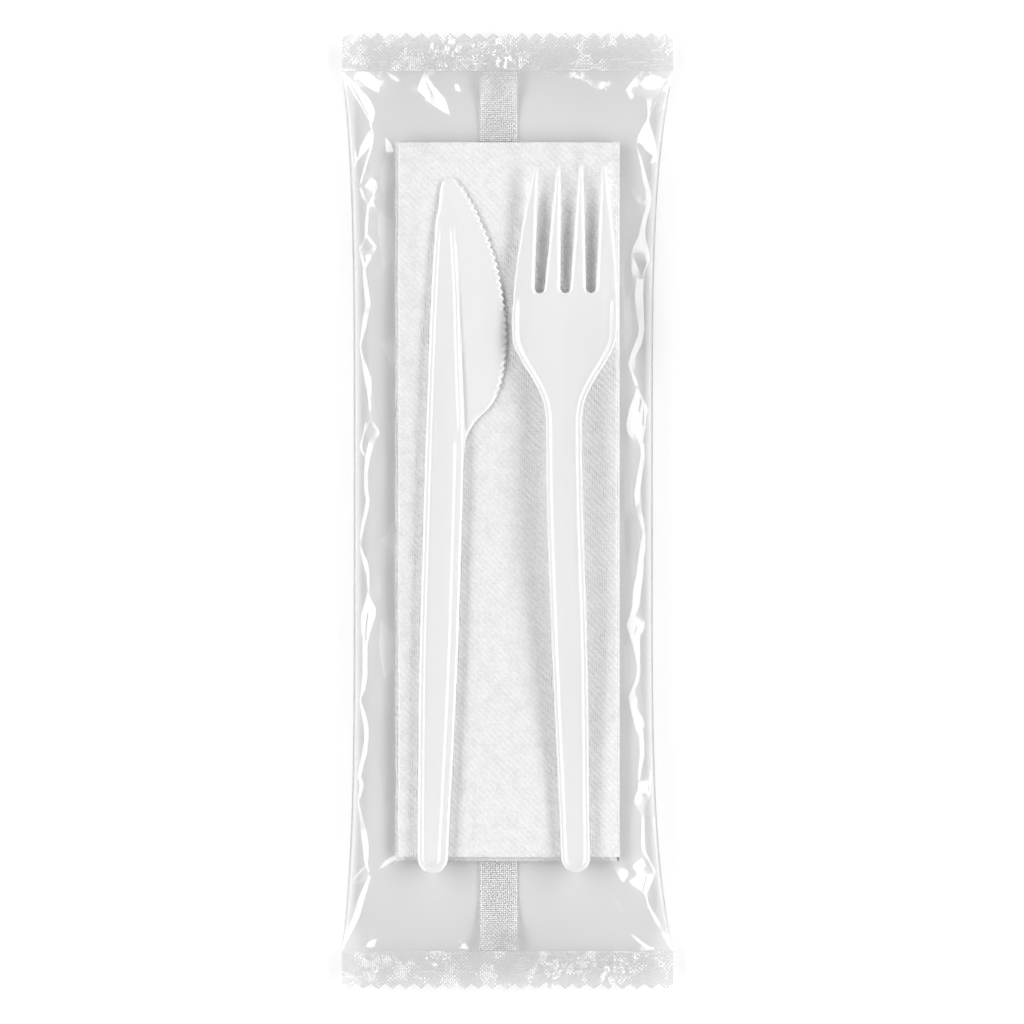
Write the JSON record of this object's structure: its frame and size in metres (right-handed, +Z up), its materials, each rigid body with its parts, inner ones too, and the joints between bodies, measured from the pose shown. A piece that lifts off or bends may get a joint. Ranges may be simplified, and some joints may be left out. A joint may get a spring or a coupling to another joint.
{
  "type": "wrapped plastic cutlery pack",
  "caption": "Single-use cutlery pack: white plastic knife and fork on a folded embossed paper napkin, sealed in a clear film flow wrap with crimped zigzag ends and a back seam.",
  "frame": {"origin": "Centre of the pack's outline, on the surface that its back panel lies on.", "axes": "+Y along the pack towards the tine end, +X to the right of the front face, +Z up out of the front face."},
  "size_m": [0.079, 0.2276, 0.0103],
  "materials": {
    "clear_film": "glossy",
    "paper": "matte embossed tissue",
    "knife_plastic": "satin moulded",
    "fork_plastic": "satin moulded"
  },
  "bodies": {
    "root": {"film_wrap": "clear_film", "napkin": "paper", "knife": "knife_plastic", "fork": "fork_plastic"}
  },
  "joints": []
}
